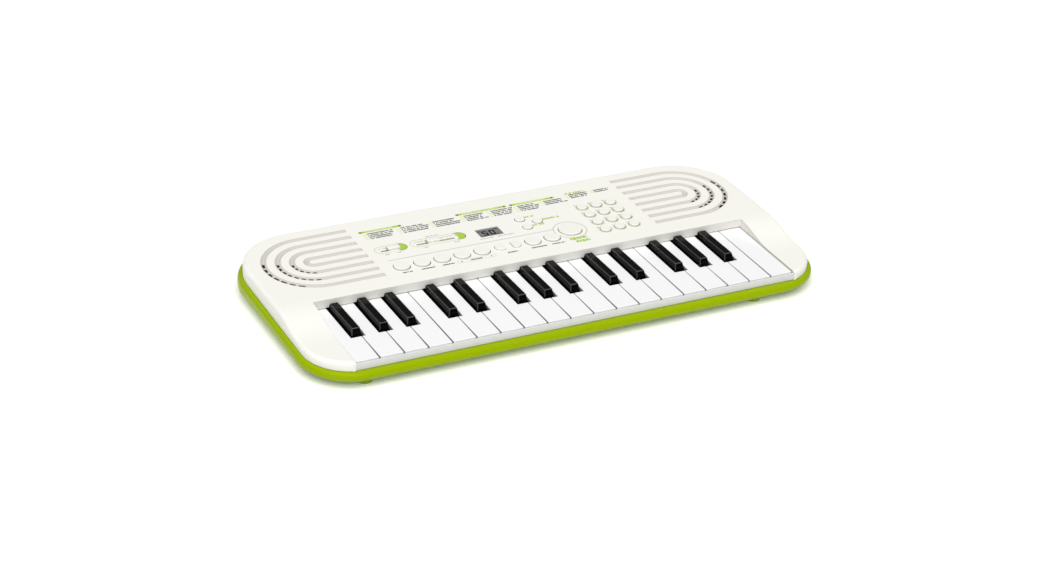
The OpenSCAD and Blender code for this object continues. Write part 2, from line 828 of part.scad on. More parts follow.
module key_axle() {
    color(steel_paint) cyl_x(axle_r, -bed_half + 0.4, bed_half - 0.4, hinge_y, hinge_z);
}

// ---- assembly ------------------------------------------------------------

upper_case();
lower_tray();
front_strip();
feet();
case_screws();
battery_cover();
battery_cells();
battery_contacts();
circuit_boards();
rubber_domes();
key_axle();
lcd_display();
speakers();
jack_sockets();
slide_knob(power_rest);  // power_knob
slide_knob(volume_rest);  // volume_knob
tone_button(0);  // tone_button_1
tone_button(1);  // tone_button_2
tone_button(2);  // tone_button_3
tone_button(3);  // tone_button_4
tone_button(4);  // tone_button_5
tempo_button(0);  // tempo_down
tempo_button(1);  // tempo_up
rhythm_button(0);  // rhythm_button_1
rhythm_button(1);  // rhythm_button_2
start_button();
mode_buttons();
number_pad();
white_key(0);  // white_key_01
white_key(1);  // white_key_02
white_key(2);  // white_key_03
white_key(3);  // white_key_04
white_key(4);  // white_key_05
white_key(5);  // white_key_06
white_key(6);  // white_key_07
white_key(7);  // white_key_08
white_key(8);  // white_key_09
white_key(9);  // white_key_10
white_key(10);  // white_key_11
white_key(11);  // white_key_12
white_key(12);  // white_key_13
white_key(13);  // white_key_14
white_key(14);  // white_key_15
white_key(15);  // white_key_16
white_key(16);  // white_key_17
white_key(17);  // white_key_18
white_key(18);  // white_key_19
black_key(0);  // black_key_01
black_key(1);  // black_key_02
black_key(2);  // black_key_03
black_key(3);  // black_key_04
black_key(4);  // black_key_05
black_key(5);  // black_key_06
black_key(6);  // black_key_07
black_key(7);  // black_key_08
black_key(8);  // black_key_09
black_key(9);  // black_key_10
black_key(10);  // black_key_11
black_key(11);  // black_key_12
black_key(12);  // black_key_13
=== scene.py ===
"""Toy electronic keyboard: its finishes, softened edges, grille, printing and display."""
import json
import math

import bmesh
import bpy
from mathutils import Matrix, Vector

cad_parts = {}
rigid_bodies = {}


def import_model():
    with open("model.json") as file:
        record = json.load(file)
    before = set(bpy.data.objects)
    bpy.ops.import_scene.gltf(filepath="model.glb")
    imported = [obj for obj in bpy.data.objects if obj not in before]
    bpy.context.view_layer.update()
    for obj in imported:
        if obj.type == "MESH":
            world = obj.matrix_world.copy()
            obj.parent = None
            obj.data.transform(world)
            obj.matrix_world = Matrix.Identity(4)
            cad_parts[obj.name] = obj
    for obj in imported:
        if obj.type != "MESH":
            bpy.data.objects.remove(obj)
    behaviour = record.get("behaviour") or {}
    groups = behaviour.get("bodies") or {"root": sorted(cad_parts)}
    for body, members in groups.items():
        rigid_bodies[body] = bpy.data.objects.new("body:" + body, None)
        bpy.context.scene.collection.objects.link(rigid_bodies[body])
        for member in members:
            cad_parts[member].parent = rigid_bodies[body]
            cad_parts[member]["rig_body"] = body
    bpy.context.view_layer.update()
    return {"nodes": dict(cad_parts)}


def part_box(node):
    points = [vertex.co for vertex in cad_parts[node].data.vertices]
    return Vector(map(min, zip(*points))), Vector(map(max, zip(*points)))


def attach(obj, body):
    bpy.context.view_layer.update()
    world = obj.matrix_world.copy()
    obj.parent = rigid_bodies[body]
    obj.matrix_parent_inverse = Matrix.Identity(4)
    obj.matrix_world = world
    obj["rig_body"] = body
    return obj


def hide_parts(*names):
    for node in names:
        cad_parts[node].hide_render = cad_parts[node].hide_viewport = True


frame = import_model()
scene = bpy.context.scene
MM = 0.001
NODES = frame["nodes"]


# ---- finishes ---------------------------------------------------------------

def group_sockets(tree, direction, kind, *names):
    for name in names:
        tree.interface.new_socket(name, in_out=direction, socket_type=kind)


def moulded_surface():
    """Group: slow colour drift, fine moulded grain and uneven polish of a plastic skin."""
    tree = bpy.data.node_groups.new("moulded_surface", "ShaderNodeTree")
    group_sockets(tree, "INPUT", "NodeSocketColor", "Tone", "Drift Tone")
    group_sockets(tree, "INPUT", "NodeSocketFloat", "Drift", "Grain Scale", "Roughness",
                  "Roughness Spread")
    group_sockets(tree, "OUTPUT", "NodeSocketColor", "Tone")
    group_sockets(tree, "OUTPUT", "NodeSocketFloat", "Roughness", "Height")
    n, l = tree.nodes, tree.links
    gin, gout = n.new("NodeGroupInput"), n.new("NodeGroupOutput")
    place = n.new("ShaderNodeTexCoord")
    drift = n.new("ShaderNodeTexNoise")
    drift.inputs["Scale"].default_value = 14
    drift.inputs["Detail"].default_value = 3
    grain = n.new("ShaderNodeTexNoise")
    grain.inputs["Detail"].default_value = 2
    smear = n.new("ShaderNodeTexNoise")
    smear.inputs["Scale"].default_value = 55
    smear.inputs["Detail"].default_value = 4
    share = n.new("ShaderNodeMath")
    share.operation = "MULTIPLY"
    mix = n.new("ShaderNodeMix")
    mix.data_type = "RGBA"
    swing = n.new("ShaderNodeMath")
    swing.operation = "SUBTRACT"
    swing.inputs[1].default_value = 0.5
    rough = n.new("ShaderNodeMath")
    rough.operation = "MULTIPLY_ADD"
    for texture in (drift, grain, smear):
        l.new(place.outputs["Object"], texture.inputs["Vector"])
    l.new(gin.outputs["Grain Scale"], grain.inputs["Scale"])
    l.new(drift.outputs["Fac"], share.inputs[0])
    l.new(gin.outputs["Drift"], share.inputs[1])
    l.new(share.outputs[0], mix.inputs["Factor"])
    l.new(gin.outputs["Tone"], mix.inputs["A"])
    l.new(gin.outputs["Drift Tone"], mix.inputs["B"])
    l.new(smear.outputs["Fac"], swing.inputs[0])
    l.new(swing.outputs[0], rough.inputs[0])
    l.new(gin.outputs["Roughness Spread"], rough.inputs[1])
    l.new(gin.outputs["Roughness"], rough.inputs[2])
    l.new(mix.outputs["Result"], gout.inputs["Tone"])
    l.new(rough.outputs[0], gout.inputs["Roughness"])
    l.new(grain.outputs["Fac"], gout.inputs["Height"])
    return tree


SKIN = moulded_surface()


def finish(name, tone, drift_tone, drift=0.5, grain=2200, rough=0.4, spread=0.12, bump=0.06,
           **shader):
    """A plastic, rubber or metal: its own shader fed by the moulded surface."""
    material = bpy.data.materials.new(name)
    material.use_nodes = True
    n, l = material.node_tree.nodes, material.node_tree.links
    face = n["Principled BSDF"]
    skin = n.new("ShaderNodeGroup")
    skin.node_tree = SKIN
    skin.inputs["Tone"].default_value = (*tone, 1)
    skin.inputs["Drift Tone"].default_value = (*drift_tone, 1)
    skin.inputs["Drift"].default_value = drift
    skin.inputs["Grain Scale"].default_value = grain
    skin.inputs["Roughness"].default_value = rough
    skin.inputs["Roughness Spread"].default_value = spread
    lift = n.new("ShaderNodeBump")
    lift.inputs["Strength"].default_value = bump
    lift.inputs["Distance"].default_value = 0.0001
    l.new(skin.outputs["Tone"], face.inputs["Base Color"])
    l.new(skin.outputs["Roughness"], face.inputs["Roughness"])
    l.new(skin.outputs["Height"], lift.inputs["Height"])
    l.new(lift.outputs["Normal"], face.inputs["Normal"])
    for key, value in shader.items():
        face.inputs[key.replace("_", " ")].default_value = value
    return material


def shade(value, tint=(1, 1, 1)):
    return tuple(value * t for t in tint)


WARM = (1.0, 0.987, 0.922)
SHELL = finish("warm_white_shell", shade(0.86, WARM), shade(0.82, WARM), rough=0.5,
               Specular_IOR_Level=0.4)
LIME = finish("lime_shell", (0.285, 0.395, 0.0003), (0.26, 0.365, 0.0003), rough=0.3,
              spread=0.16, Specular_IOR_Level=0.2, Specular_Tint=(0.75, 1.0, 0.1, 1))
# the front strip: partly a pale grey of its own, partly painted shade of its recess under the
# keys
STRIP_TONE_AND_SHADE = finish("pale_grey_strip_and_recess_shade", shade(0.72), shade(0.68), rough=0.42)
# painted shade: the grille grooves are the shell's own plastic, given a darker tone for the shade
# inside them
GROOVE_SHADE = finish("grille_groove_painted_shade", (0.60, 0.57, 0.53), (0.56, 0.53, 0.49), rough=0.6,
                Specular_IOR_Level=0.2)
KEY_WHITE = finish("polished_white_key", shade(0.90), shade(0.87), rough=0.2, spread=0.1,
                   bump=0.02, Coat_Weight=0.2)
KEY_BLACK = finish("polished_black_key", (0.0015, 0.0014, 0.0014), (0.003, 0.0028, 0.0028),
                   rough=0.12, spread=0.08, grain=1500, bump=0.02, IOR=1.14)
# painted shade: the white keys' sides are white plastic, made grey so the gaps between the keys
# read dark
KEY_SIDE_SHADE = finish("key_side_painted_shade", shade(0.46), shade(0.42), rough=0.6)
# painted highlight: the rolled edges of the black keys get a lighter, glossier black than the key
# itself
BLACK_EDGE_HIGHLIGHT = finish("black_edge_painted_highlight", (0.02, 0.02, 0.02), (0.04, 0.04, 0.04), rough=0.3,
                    Specular_IOR_Level=0.9)
# painted shade: a grey band for the shade of the step round the start button
STEP_SHADE = finish("panel_step_painted_shade", (0.62, 0.60, 0.56), (0.58, 0.56, 0.52), rough=0.6)
# painted shade: dark crescents laid round the caps for the shade in their gaps
GAP_PAINTED_SHADE = finish("button_gap_painted_shade", (0.16, 0.155, 0.15), (0.24, 0.23, 0.22), rough=0.8)
RING_PRINT = finish("olive_ring_printing", (0.36, 0.50, 0.12), (0.40, 0.54, 0.16), rough=0.5)
CAP = finish("white_button", shade(0.86, WARM), shade(0.83, WARM), rough=0.34)
DARK_PRINT = finish("dark_printing", (0.05, 0.05, 0.05), (0.09, 0.09, 0.09), rough=0.5)
GREEN_PRINT = finish("green_printing", (0.36, 0.56, 0.04), (0.42, 0.62, 0.08), rough=0.5)
PALE_PRINT = finish("pale_green_printing", (0.66, 0.78, 0.36), (0.72, 0.82, 0.44), rough=0.5)
GREY_PRINT = finish("grey_printing", shade(0.42), shade(0.48), rough=0.5)
DISPLAY = finish("display_pane", (0.17, 0.175, 0.17), (0.21, 0.215, 0.21), rough=0.2, spread=0.06,
                 bump=0.0, Specular_IOR_Level=0.3)
SEGMENT = finish("display_segment", (0.004, 0.004, 0.004), (0.01, 0.01, 0.01), rough=0.5,
                 Specular_IOR_Level=0.1)
# the black of the dust cloth under each grille, also worn by the slot plugs as painted shade
CLOTH_AND_SLOT_SHADE = finish("dust_cloth_and_slot_shade", (0.008, 0.008, 0.008), (0.02, 0.02, 0.02), grain=3200,
               rough=0.9, spread=0.1, bump=0.9, Specular_IOR_Level=0.05)
SPEAKER = finish("speaker_cone", (0.012, 0.012, 0.013), (0.03, 0.03, 0.03), rough=0.7, grain=900,
                 bump=0.4)
JACK = finish("jack_body", (0.01, 0.01, 0.011), (0.02, 0.02, 0.02), rough=0.4)
STEEL = finish("zinc_plated_steel", (0.62, 0.62, 0.60), (0.5, 0.5, 0.47), rough=0.28, spread=0.2,
               grain=900, bump=0.1, Metallic=1.0)
CELL = finish("cell_sleeve", (0.05, 0.12, 0.34), (0.04, 0.09, 0.26), rough=0.3)
BOARD = finish("circuit_board", (0.03, 0.17, 0.07), (0.02, 0.12, 0.05), rough=0.35, grain=700,
               bump=0.3)
DOME = finish("contact_rubber", (0.30, 0.30, 0.31), (0.25, 0.25, 0.26), rough=0.7)
RUBBER = finish("lime_foot", (0.26, 0.40, 0.004), (0.22, 0.34, 0.003), rough=0.6)


# ---- modelling helpers --------------------------------------------------------

def new_piece(name, bm, material, body, smooth=35):
    bmesh.ops.recalc_face_normals(bm, faces=bm.faces)
    mesh = bpy.data.meshes.new(name)
    bm.to_mesh(mesh)
    bm.free()
    mesh.materials.append(material)
    mesh.shade_smooth()
    mesh.set_sharp_from_angle(angle=math.radians(smooth))
    piece = bpy.data.objects.new(name, mesh)
    scene.collection.objects.link(piece)
    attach(piece, body)
    return piece


def even_shading(piece):
    shading = piece.modifiers.new("even_shading", "WEIGHTED_NORMAL")
    shading.keep_sharp = True
    return piece


# faces that meet within this many degrees count as one flat face
FLAT_ANGLE = 0.5


def softened(node, radius, keep, material, segments=3, edge_highlight=None, settle=None,
             turn=28):
    """A copy of a moulding with the edges that keep() picks rolled over to a radius."""
    bm = bmesh.new()
    bm.from_mesh(NODES[node].data)
    bmesh.ops.remove_doubles(bm, verts=bm.verts, dist=2e-6)
    bmesh.ops.dissolve_limit(bm, angle_limit=math.radians(FLAT_ANGLE), verts=bm.verts,
                             edges=bm.edges)
    if settle:
        for vert in bm.verts:
            vert.co = settle(vert.co / MM) * MM
    edges = [e for e in bm.edges if e.is_manifold and e.calc_face_angle(0) > math.radians(turn)
             and keep(e.verts[0].co / MM, e.verts[1].co / MM)]
    made = bmesh.ops.bevel(bm, geom=edges, offset=radius * MM, offset_type="OFFSET",
                           segments=segments, profile=0.5, affect="EDGES", clamp_overlap=False,
                           material=-1)
    # the rolled faces can take a second material, a painted highlight
    if edge_highlight:
        for face in made["faces"]:
            face.material_index = 1
    piece = new_piece("soft_" + node, bm, material, NODES[node]["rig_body"])
    if edge_highlight:
        piece.data.materials.append(edge_highlight)
    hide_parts(node)
    return even_shading(piece)


def refinish(node, material):
    for spot in NODES[node].material_slots:
        spot.material = material
    if not NODES[node].material_slots:
        NODES[node].data.materials.append(material)


# ---- case, tray and what is inside --------------------------------------------

for node, material in (("lower_tray", LIME), ("case_screws", STEEL), ("battery_cells", CELL),
                       ("battery_contacts", STEEL), ("circuit_boards", BOARD),
                       ("rubber_domes", DOME), ("key_axle", STEEL), ("speakers", SPEAKER),
                       ("jack_sockets", JACK), ("feet", RUBBER), ("lcd_display", DISPLAY),
                       ("front_strip", STRIP_TONE_AND_SHADE), ("battery_cover", LIME)):
    refinish(node, material)

refinish("upper_case", SHELL)

# all lengths from here on are in millimetres, in the frame of the whole toy
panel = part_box("upper_case")[1].z / MM
fascia = -14.0  # y of the wall behind the keys


# ---- keys ----------------------------------------------------------------------

key_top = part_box("white_key_01")[1].z / MM
TAPER_START = -66
TAPER_LENGTH = 30
TAPER = 0.4  # what each side of a white key loses at its front


def drawn_in(node):
    """A white key narrows a little towards its front, so the gaps open there."""
    a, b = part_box(node)
    middle = (a.x + b.x) / 2 / MM

    def place(v):
        share = max(0.0, min(1.0, (TAPER_START - v.y) / TAPER_LENGTH))
        return Vector((v.x - math.copysign(TAPER * share, v.x - middle), v.y, v.z))
    return place


for node in sorted(NODES):
    if node.startswith("white_key_"):
        key = softened(node, 0.45, lambda a, b: max(a.z, b.z) > key_top - 0.05
                       and min(a.y, b.y) < fascia - 1, KEY_WHITE,
                       settle=drawn_in(node))
        # side faces in front of the fascia take the painted gap shade
        key.data.materials.append(KEY_SIDE_SHADE)
        for face in key.data.polygons:
            if abs(face.normal.x) > 0.98 and face.center.y < fascia * MM:
                face.material_index = 1
    elif node.startswith("black_key_"):
        softened(node, 0.6, lambda a, b: max(a.z, b.z) > key_top + 3
                 and min(a.y, b.y) < fascia - 1, KEY_BLACK, segments=4,
                 edge_highlight=BLACK_EDGE_HIGHLIGHT, turn=20)


# ---- buttons and knobs -----------------------------------------------------------

def rims_above(level):
    return lambda a, b: min(a.z, b.z) > level


for node in sorted(NODES):
    if node.startswith(("tone_", "tempo_", "rhythm_", "start_", "mode_", "number_")):
        softened(node, 0.55, rims_above(panel + 0.3), CAP)
    elif node.endswith("_knob"):
        softened(node, 0.5, rims_above(panel + 0.3), CAP)


# ---- loudspeaker grilles -----------------------------------------------------------

speaker_lo, speaker_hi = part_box("speakers")
SPEAKER_Y = (speaker_lo.y + speaker_hi.y) / 2 / MM
SPEAKER_X = speaker_hi.x / MM - (speaker_hi.y - speaker_lo.y) / 2 / MM
GROOVE_PITCH = 11.2
GROOVE_HALF = 2.4
GROOVE_DEPTH = 1.05
GROOVE_INNER_END = 121.0
GROOVE_TOP = panel - 0.02
# how a groove's end rises to the panel: travel of each step, and the depth it keeps
RUN_OUT = ((1.2, 0.9), (0.8, 0.66), (0.6, 0.4), (0.5, 0.05))
RUN_OUT_LENGTH = 3.2
# for each groove, counted outwards: first slot and step in degrees, number of slots
SLOTS = {3: (167, 11.3, 7), 2: (170, 12.4, 8), 1: (178, 18.5, 5)}
SLOT_LENGTH = {3: 5.2, 2: 3.9, 1: 3.4}
SLOT_WIDTH = 2.0
PLUG_GAP = 0.06
PLUG_HEIGHT = 0.9
PLUG_DEPTH = 1.53
CLOTH_RADIUS = 41.5
CLOTH_DEPTH = 2.75
CLOTH_THICKNESS = 0.3


def groove_lining(count, side):
    """The hollow channel of one grille groove, with its sound slots cut through."""
    radius = GROOVE_PITCH * (count + 0.5)
    bm = bmesh.new()
    across = 12
    row = []
    for k in range(across + 1):
        u = GROOVE_HALF * (2 * k / across - 1)
        z = GROOVE_TOP - GROOVE_DEPTH * (0.5 + 0.5 * math.cos(math.pi * u / GROOVE_HALF))
        row.append(bm.verts.new((SPEAKER_X, SPEAKER_Y - radius + u, z)))
    start = [bm.edges.new(pair) for pair in zip(row, row[1:])]
    turned = bmesh.ops.spin(bm, geom=row + start, axis=(0, 0, 1), cent=(SPEAKER_X, SPEAKER_Y, 0),
                            angle=math.pi, steps=180, use_merge=False)
    end = [g for g in turned["geom_last"] if isinstance(g, bmesh.types.BMEdge)]
    for edges in (start, end):
        straight = SPEAKER_X - GROOVE_INNER_END - RUN_OUT_LENGTH
        for travel, rise in ((straight, 1), *RUN_OUT):
            grown = bmesh.ops.extrude_edge_only(bm, edges=edges)["geom"]
            verts = [g for g in grown if isinstance(g, bmesh.types.BMVert)]
            bmesh.ops.translate(bm, verts=verts, vec=(-travel, 0, 0))
            bmesh.ops.scale(bm, verts=verts, vec=(1, 1, rise),
                            space=Matrix.Translation((0, 0, -GROOVE_TOP)))
            edges = [g for g in grown if isinstance(g, bmesh.types.BMEdge)
                     and all(v in verts for v in g.verts)]
    if count in SLOTS:
        first, step, number = SLOTS[count]
        half = math.degrees(SLOT_LENGTH[count] / 2 / radius)
        gone = []
        for face in bm.faces:
            c = face.calc_center_median()
            dx, dy = c.x - SPEAKER_X, c.y - SPEAKER_Y
            if dx < -0.01 or abs(math.hypot(dx, dy) - radius) > SLOT_WIDTH / 2:
                continue
            angle = 180 - math.degrees(math.atan2(dy, dx))
            if any(abs(angle - first - step * k) < half for k in range(number)):
                gone.append(face)
        bmesh.ops.delete(bm, geom=gone, context="FACES")
    bmesh.ops.scale(bm, verts=bm.verts, vec=(side * MM, MM, MM))
    return bm


for side, hand in ((-1, "left"), (1, "right")):
    for count in range(4):
        bm = groove_lining(count, side)
        # each channel wears the painted groove shade
        lining = new_piece(f"grille_channel_{hand}_{count + 1}", bm, GROOVE_SHADE, "case",
                           smooth=60)
        up = sum(p.normal.z * p.area for p in lining.data.polygons)
        if up < 0:
            lining.data.flip_normals()
        wall = lining.modifiers.new("wall", "SOLIDIFY")
        wall.thickness = 0.1 * MM
        wall.offset = -1
    bm = bmesh.new()
    bmesh.ops.create_circle(bm, cap_ends=True, radius=CLOTH_RADIUS * MM, segments=96,
                            matrix=Matrix.Translation((side * SPEAKER_X * MM, SPEAKER_Y * MM,
                                                       (panel - CLOTH_DEPTH) * MM)))
    grown = bmesh.ops.extrude_face_region(bm, geom=bm.faces[:])["geom"]
    bmesh.ops.translate(bm, verts=[g for g in grown if isinstance(g, bmesh.types.BMVert)],
                        vec=(0, 0, CLOTH_THICKNESS * MM))
    new_piece(f"dust_cloth_{hand}", bm, CLOTH_AND_SLOT_SHADE, "case")
    # black plugs in every sound slot, just under the groove: painted shade for the dark inside of
    # the slots
    bm = bmesh.new()
    for count, (first, step, number) in SLOTS.items():
        for k in range(number):
            tab = bmesh.ops.create_cube(bm, size=1)["verts"]
            bmesh.ops.scale(bm, verts=tab, vec=(SLOT_WIDTH - PLUG_GAP,
                                                SLOT_LENGTH[count] - PLUG_GAP, PLUG_HEIGHT))
            bmesh.ops.translate(bm, verts=tab, vec=(GROOVE_PITCH * (count + 0.5), 0,
                                                    panel - PLUG_DEPTH))
            bmesh.ops.rotate(bm, verts=tab, cent=(0, 0, 0),
                             matrix=Matrix.Rotation(math.radians(180 - first - step * k), 3, "Z"))
    bmesh.ops.translate(bm, verts=bm.verts, vec=(SPEAKER_X, SPEAKER_Y, 0))
    bmesh.ops.scale(bm, verts=bm.verts, vec=(side * MM, MM, MM))
    new_piece(f"slot_shade_plugs_{hand}", bm, CLOTH_AND_SLOT_SHADE, "case")


# ---- printing ------------------------------------------------------------------------

INK = 0.05
LINE_INK = 0.03
SLIDE_HALF = 5.9
PAD_AT = (76.7, 52)
PAD_STEP = (13.3, 13.8)
PAD_RING = 5.75
START_AT = (49.1, 20.3)
STEP_RING = (13.1, 14.2)
STEP_LINE = (24.9, 26.1)
MODE_AT = ((18.8, 51.3), (31.2, 43.7), (19.1, 37.2))


def pad_place(part):
    """The middle of one number button, counted along the rows from the far left."""
    return PAD_AT[0] + PAD_STEP[0] * (part % 3), PAD_AT[1] - PAD_STEP[1] * (part // 3)


def plate(bm, x0, x1, y0, y1, lift=INK):
    """One thin printed patch on the panel."""
    made = bmesh.ops.create_cube(bm, size=1)["verts"]
    bmesh.ops.scale(bm, verts=made, vec=(x1 - x0, y1 - y0, lift))
    bmesh.ops.translate(bm, verts=made, vec=((x0 + x1) / 2, (y0 + y1) / 2, panel + lift / 2))


def disc(bm, x, y, radius, segments):
    made = bmesh.ops.create_cone(bm, cap_ends=True, radius1=radius, radius2=radius, depth=INK,
                                 segments=segments)["verts"]
    bmesh.ops.translate(bm, verts=made, vec=(x, y, panel + INK / 2))


def outline(bm, points, width):
    """A closed printed line: a ring of faces between the path and its inset."""
    verts = [bm.verts.new((x, y, panel + INK)) for x, y in points]
    face = bm.faces.new(verts)
    face.normal_update()
    if face.normal.z < 0:
        face.normal_flip()
    bmesh.ops.inset_individual(bm, faces=[face], thickness=width, depth=0)
    bmesh.ops.delete(bm, geom=[face], context="FACES_ONLY")


def pill(x0, x1, y, half, steps=14):
    """Points round a lozenge with round ends."""
    points = []
    for cx, start in ((x1 - half, -90), (x0 + half, 90)):
        for k in range(steps + 1):
            t = math.radians(start + 180 * k / steps)
            points.append((cx + half * math.cos(t), y + half * math.sin(t)))
    return points


def small_words(bm, x0, x1, y, height, seed, level=0.0):
    """A line of unreadable small print: short strokes with uneven gaps."""
    x, k = x0, seed
    while x < x1:
        k = (k * 37 + 11) % 101
        width = height * (0.42 + 0.5 * (k % 7) / 7)
        plate(bm, x, min(x + width, x1), y - height / 2 * (0.7 + 0.3 * (k % 3) / 2),
              y + height / 2, lift=INK + level)
        x += width + height * (0.16 if k % 6 else 0.6)


def close_print(name, bm, material):
    bmesh.ops.scale(bm, verts=bm.verts, vec=(MM, MM, MM))
    return new_piece(name, bm, material, "case")


def gap_shade_ring(bm, x, y, radius, near=0.42, far=0.08):
    """Painted shade in the gap round a cap, widest on the player's side."""
    rings = []
    for r, dy in ((radius, 0.0), (radius + (near + far) / 2, (far - near) / 2)):
        made = bmesh.ops.create_circle(bm, segments=48, radius=r, matrix=Matrix.Translation(
            (x, y + dy, panel + 0.02)))["verts"]
        rings += [e for v in made for e in v.link_edges]
    bmesh.ops.bridge_loops(bm, edges=list(set(rings)))


dark, green, pale, grey, ring_ink, gap_shade_ink = (bmesh.new() for _ in range(6))
LIST_SHIFT = -1.5
LIST_PITCH = 2.75

# list headings, with the pale key colours and the lists under them
for x0, x1, y in ((-112.0, -76.5, 77.2), (-26.0, 17.9, 77.2), (22.9, 62.0, 77.2)):
    plate(green, x0, x1, y - 1.35, y + 1.35)
    disc(green, x0, y, 1.35, segments=20)
    disc(green, x1, y, 1.35, segments=20)
    small_words(pale, x0 + 5, x1 - 7, y, 1.6, int(x1) + 90, level=INK)
for column, (x0, x1, rows) in enumerate((
        (-110, -86, 4), (-80.5, -56, 4), (-52, -29, 4), (-24, -4.5, 4), (0.5, 21, 4),
        (25, 45, 4), (49, 70, 3), (74, 94, 3), (97.5, 112, 2))):
    top = 73.2 if column not in (7, 8) else 76.4
    for k in range(rows):
        y = top - LIST_PITCH * k
        plate(pale, x0 + LIST_SHIFT, x0 + LIST_SHIFT + 3.0, y - 0.6, y + 0.6)
        reach = x1 + 2.0 - 3.0 * ((k * 5 + column * 3) % 4) / 2
        small_words(dark, x0 + LIST_SHIFT + 4.0, reach, y, 1.7, 3 + 7 * k + 13 * column)

slide_y = (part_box("power_knob")[0].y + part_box("power_knob")[1].y) / 2 / MM


def arc(x, y, radius, degrees):
    """Points of an arc, one for each angle."""
    return [(x + radius * math.cos(math.radians(a)), y + radius * math.sin(math.radians(a)))
            for a in degrees]


# power and volume surrounds, each with a filled crescent at its right end, and their captions
for x0, x1 in ((-113.4, -85.4), (-82.4, -33.8)):
    outline(green, pill(x0, x1, slide_y, SLIDE_HALF), 0.4)
    outer = arc(x1 - SLIDE_HALF, slide_y, SLIDE_HALF, range(130, -131, -10))
    inner = arc(x1 - SLIDE_HALF - 7.6, slide_y, SLIDE_HALF * 1.12, range(-43, 44, 9))
    outer = [p for p in outer if p[0] > x1 - SLIDE_HALF - 3.4]
    green.faces.new([green.verts.new((x, y, panel + INK)) for x, y in outer + inner])
for x, y, w in ((-105.5, 35.6, 4), (-95.5, 35.6, 4), (-72, 35.4, 4.5), (-45, 35.4, 4.5),
                (-60, 52.0, 11)):
    small_words(grey, x - w / 2, x + w / 2, y, 1.3, int(200 + x))

# labels under the row of buttons
for name, w in (("tone_button_1", 9), ("tone_button_2", 12), ("tone_button_3", 10),
                ("rhythm_button_1", 14), ("rhythm_button_2", 12)):
    a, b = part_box(name)
    x = (a.x + b.x) / 2 / MM
    small_words(dark, x - w / 2 + 1, x + w / 2 + 1, 3.2, 1.6, int(150 + x))
small_words(dark, -15.5, -6, 3.2, 1.6, 31)
outline(grey, pill(-60.0, -26.0, 3.2, 2.0), 0.25)
small_words(dark, -48, -38, 3.2, 1.5, 57)
for x in (-56.0, -30.0):
    disc(dark, x, 3.2, 0.6, segments=16)

# captions below the display
small_words(grey, -26, -14, 31.6, 1.3, 77)
small_words(grey, -11, 4, 31.6, 1.3, 83)

# captions beside the three mode buttons, by the start button and over the number buttons
for x0, x1, y in ((23.5, 32.5, 53.4), (36.0, 51.5, 45.0), (23.5, 34.5, 38.0)):
    small_words(green, x0, x1, y, 2.6, int(x0 * 3))
small_words(green, 41.5, 56.5, 5.0, 3.8, 19)
small_words(green, 44.5, 57.0, -0.2, 3.8, 43)
small_words(green, 75, 92, 79.0, 2.6, 23)

# rings round the number buttons
for part in range(12):
    x, y = pad_place(part)
    outline(ring_ink, arc(x, y, PAD_RING, range(0, 360, 10)), 0.42)

# painted shade in the gap round every cap, widest on the player's side
CAP_RADIUS = {"tone": 6.6, "rhythm": 6.6, "start": 9.6}
PAD_RADIUS = 4.3
MODE_RADIUS = 4.1
CAP_GAP = 0.33
SMALL_CAP_NEAR = 0.34
for node in sorted(NODES):
    if node.startswith(("tone_", "rhythm_", "start_")):
        a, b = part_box(node)
        at = (a + b) / 2 / MM
        gap_shade_ring(gap_shade_ink, at.x, at.y, CAP_RADIUS[node.split("_")[0]] + CAP_GAP)
for part in range(12):
    gap_shade_ring(gap_shade_ink, *pad_place(part), PAD_RADIUS + CAP_GAP, SMALL_CAP_NEAR)
for x, y in MODE_AT:
    gap_shade_ring(gap_shade_ink, x, y, MODE_RADIUS + CAP_GAP, SMALL_CAP_NEAR)

# painted shade of the soft step that runs round the big start button: a grey band laid on the
# panel
band = bmesh.new()
plate(band, -110, START_AT[0] - 13.0, *STEP_LINE, lift=LINE_INK)
rings = []
for r in STEP_RING:
    made = bmesh.ops.create_circle(band, segments=72, radius=r, matrix=Matrix.Translation(
        (*START_AT, panel + LINE_INK)))["verts"]
    rings += [e for v in made for e in v.link_edges]
bmesh.ops.bridge_loops(band, edges=list(set(rings)))
close_print("step_painted_shade", band, STEP_SHADE)

# pale housings under the two slide slots
HOUSING_DEPTH = 7.0
HOUSING_THICKNESS = 0.5
HOUSING_Z = 23.62
housing = bmesh.new()
for x0, x1 in ((-111.5, -91.5), (-81.0, -41.0)):
    made = bmesh.ops.create_cube(housing, size=1)["verts"]
    bmesh.ops.scale(housing, verts=made, vec=(x1 - x0, HOUSING_DEPTH, HOUSING_THICKNESS))
    bmesh.ops.translate(housing, verts=made, vec=((x0 + x1) / 2, slide_y, HOUSING_Z))
bmesh.ops.bevel(housing, geom=housing.edges[:], offset=0.15, offset_type="OFFSET", segments=2,
                profile=0.5, affect="EDGES", material=-1)
close_print("slide_housings", housing, CAP)

close_print("list_text", dark, DARK_PRINT)
close_print("number_rings", ring_ink, RING_PRINT)
close_print("cap_gap_painted_shade", gap_shade_ink, GAP_PAINTED_SHADE)
close_print("green_bars", green, GREEN_PRINT)
close_print("pale_marks", pale, PALE_PRINT)
close_print("grey_marks", grey, GREY_PRINT)


FIGURE_HEIGHT = 2.2
EM_PER_HEIGHT = 1.35
FIGURE_THICKNESS = 0.02


